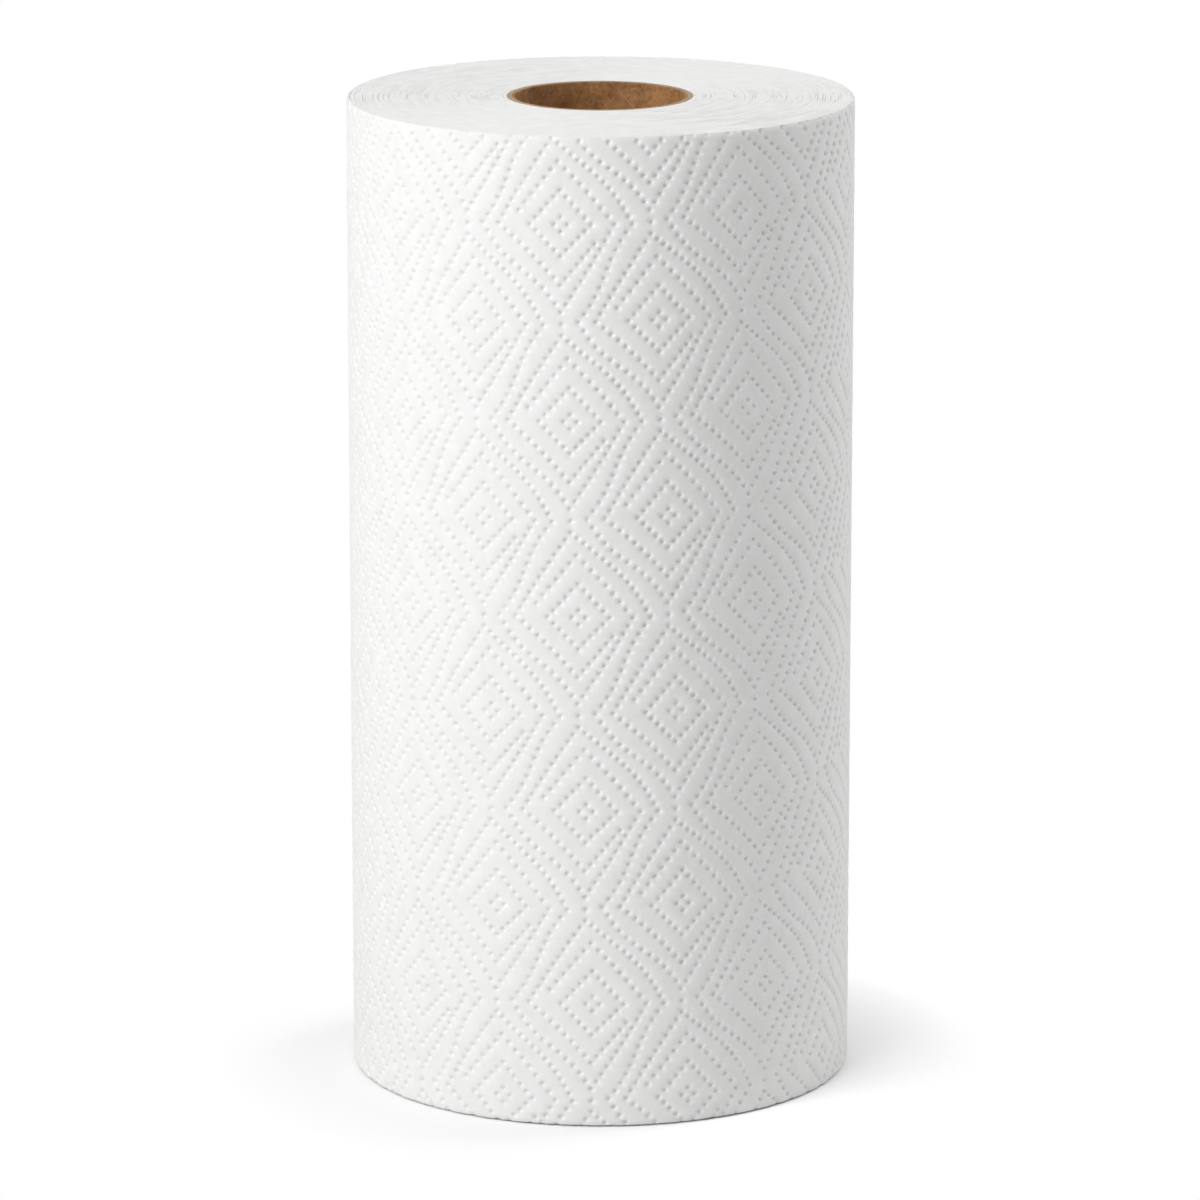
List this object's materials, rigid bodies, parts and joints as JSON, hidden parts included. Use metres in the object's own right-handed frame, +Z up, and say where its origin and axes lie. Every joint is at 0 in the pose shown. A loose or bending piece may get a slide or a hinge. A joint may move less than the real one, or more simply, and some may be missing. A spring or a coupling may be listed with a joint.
{
  "type": "paper towel roll",
  "caption": "White embossed paper towel wound on an open board tube, to stand on its end or go on a roll holder.",
  "frame": {"origin": "on the roll's axis at its bottom end, where it stands", "axes": "+Z up along the axis of the tube, -Y to the front, away from the sheet's loose end, +X to the right"},
  "size_m": [0.1169, 0.1165, 0.23],
  "materials": {
    "paper": "matt, embossed, soft two-ply tissue",
    "board": "matt, spiral-wound brown board"
  },
  "bodies": {
    "root": {"wound_paper": "paper", "core_tube": "board"}
  },
  "joints": []
}
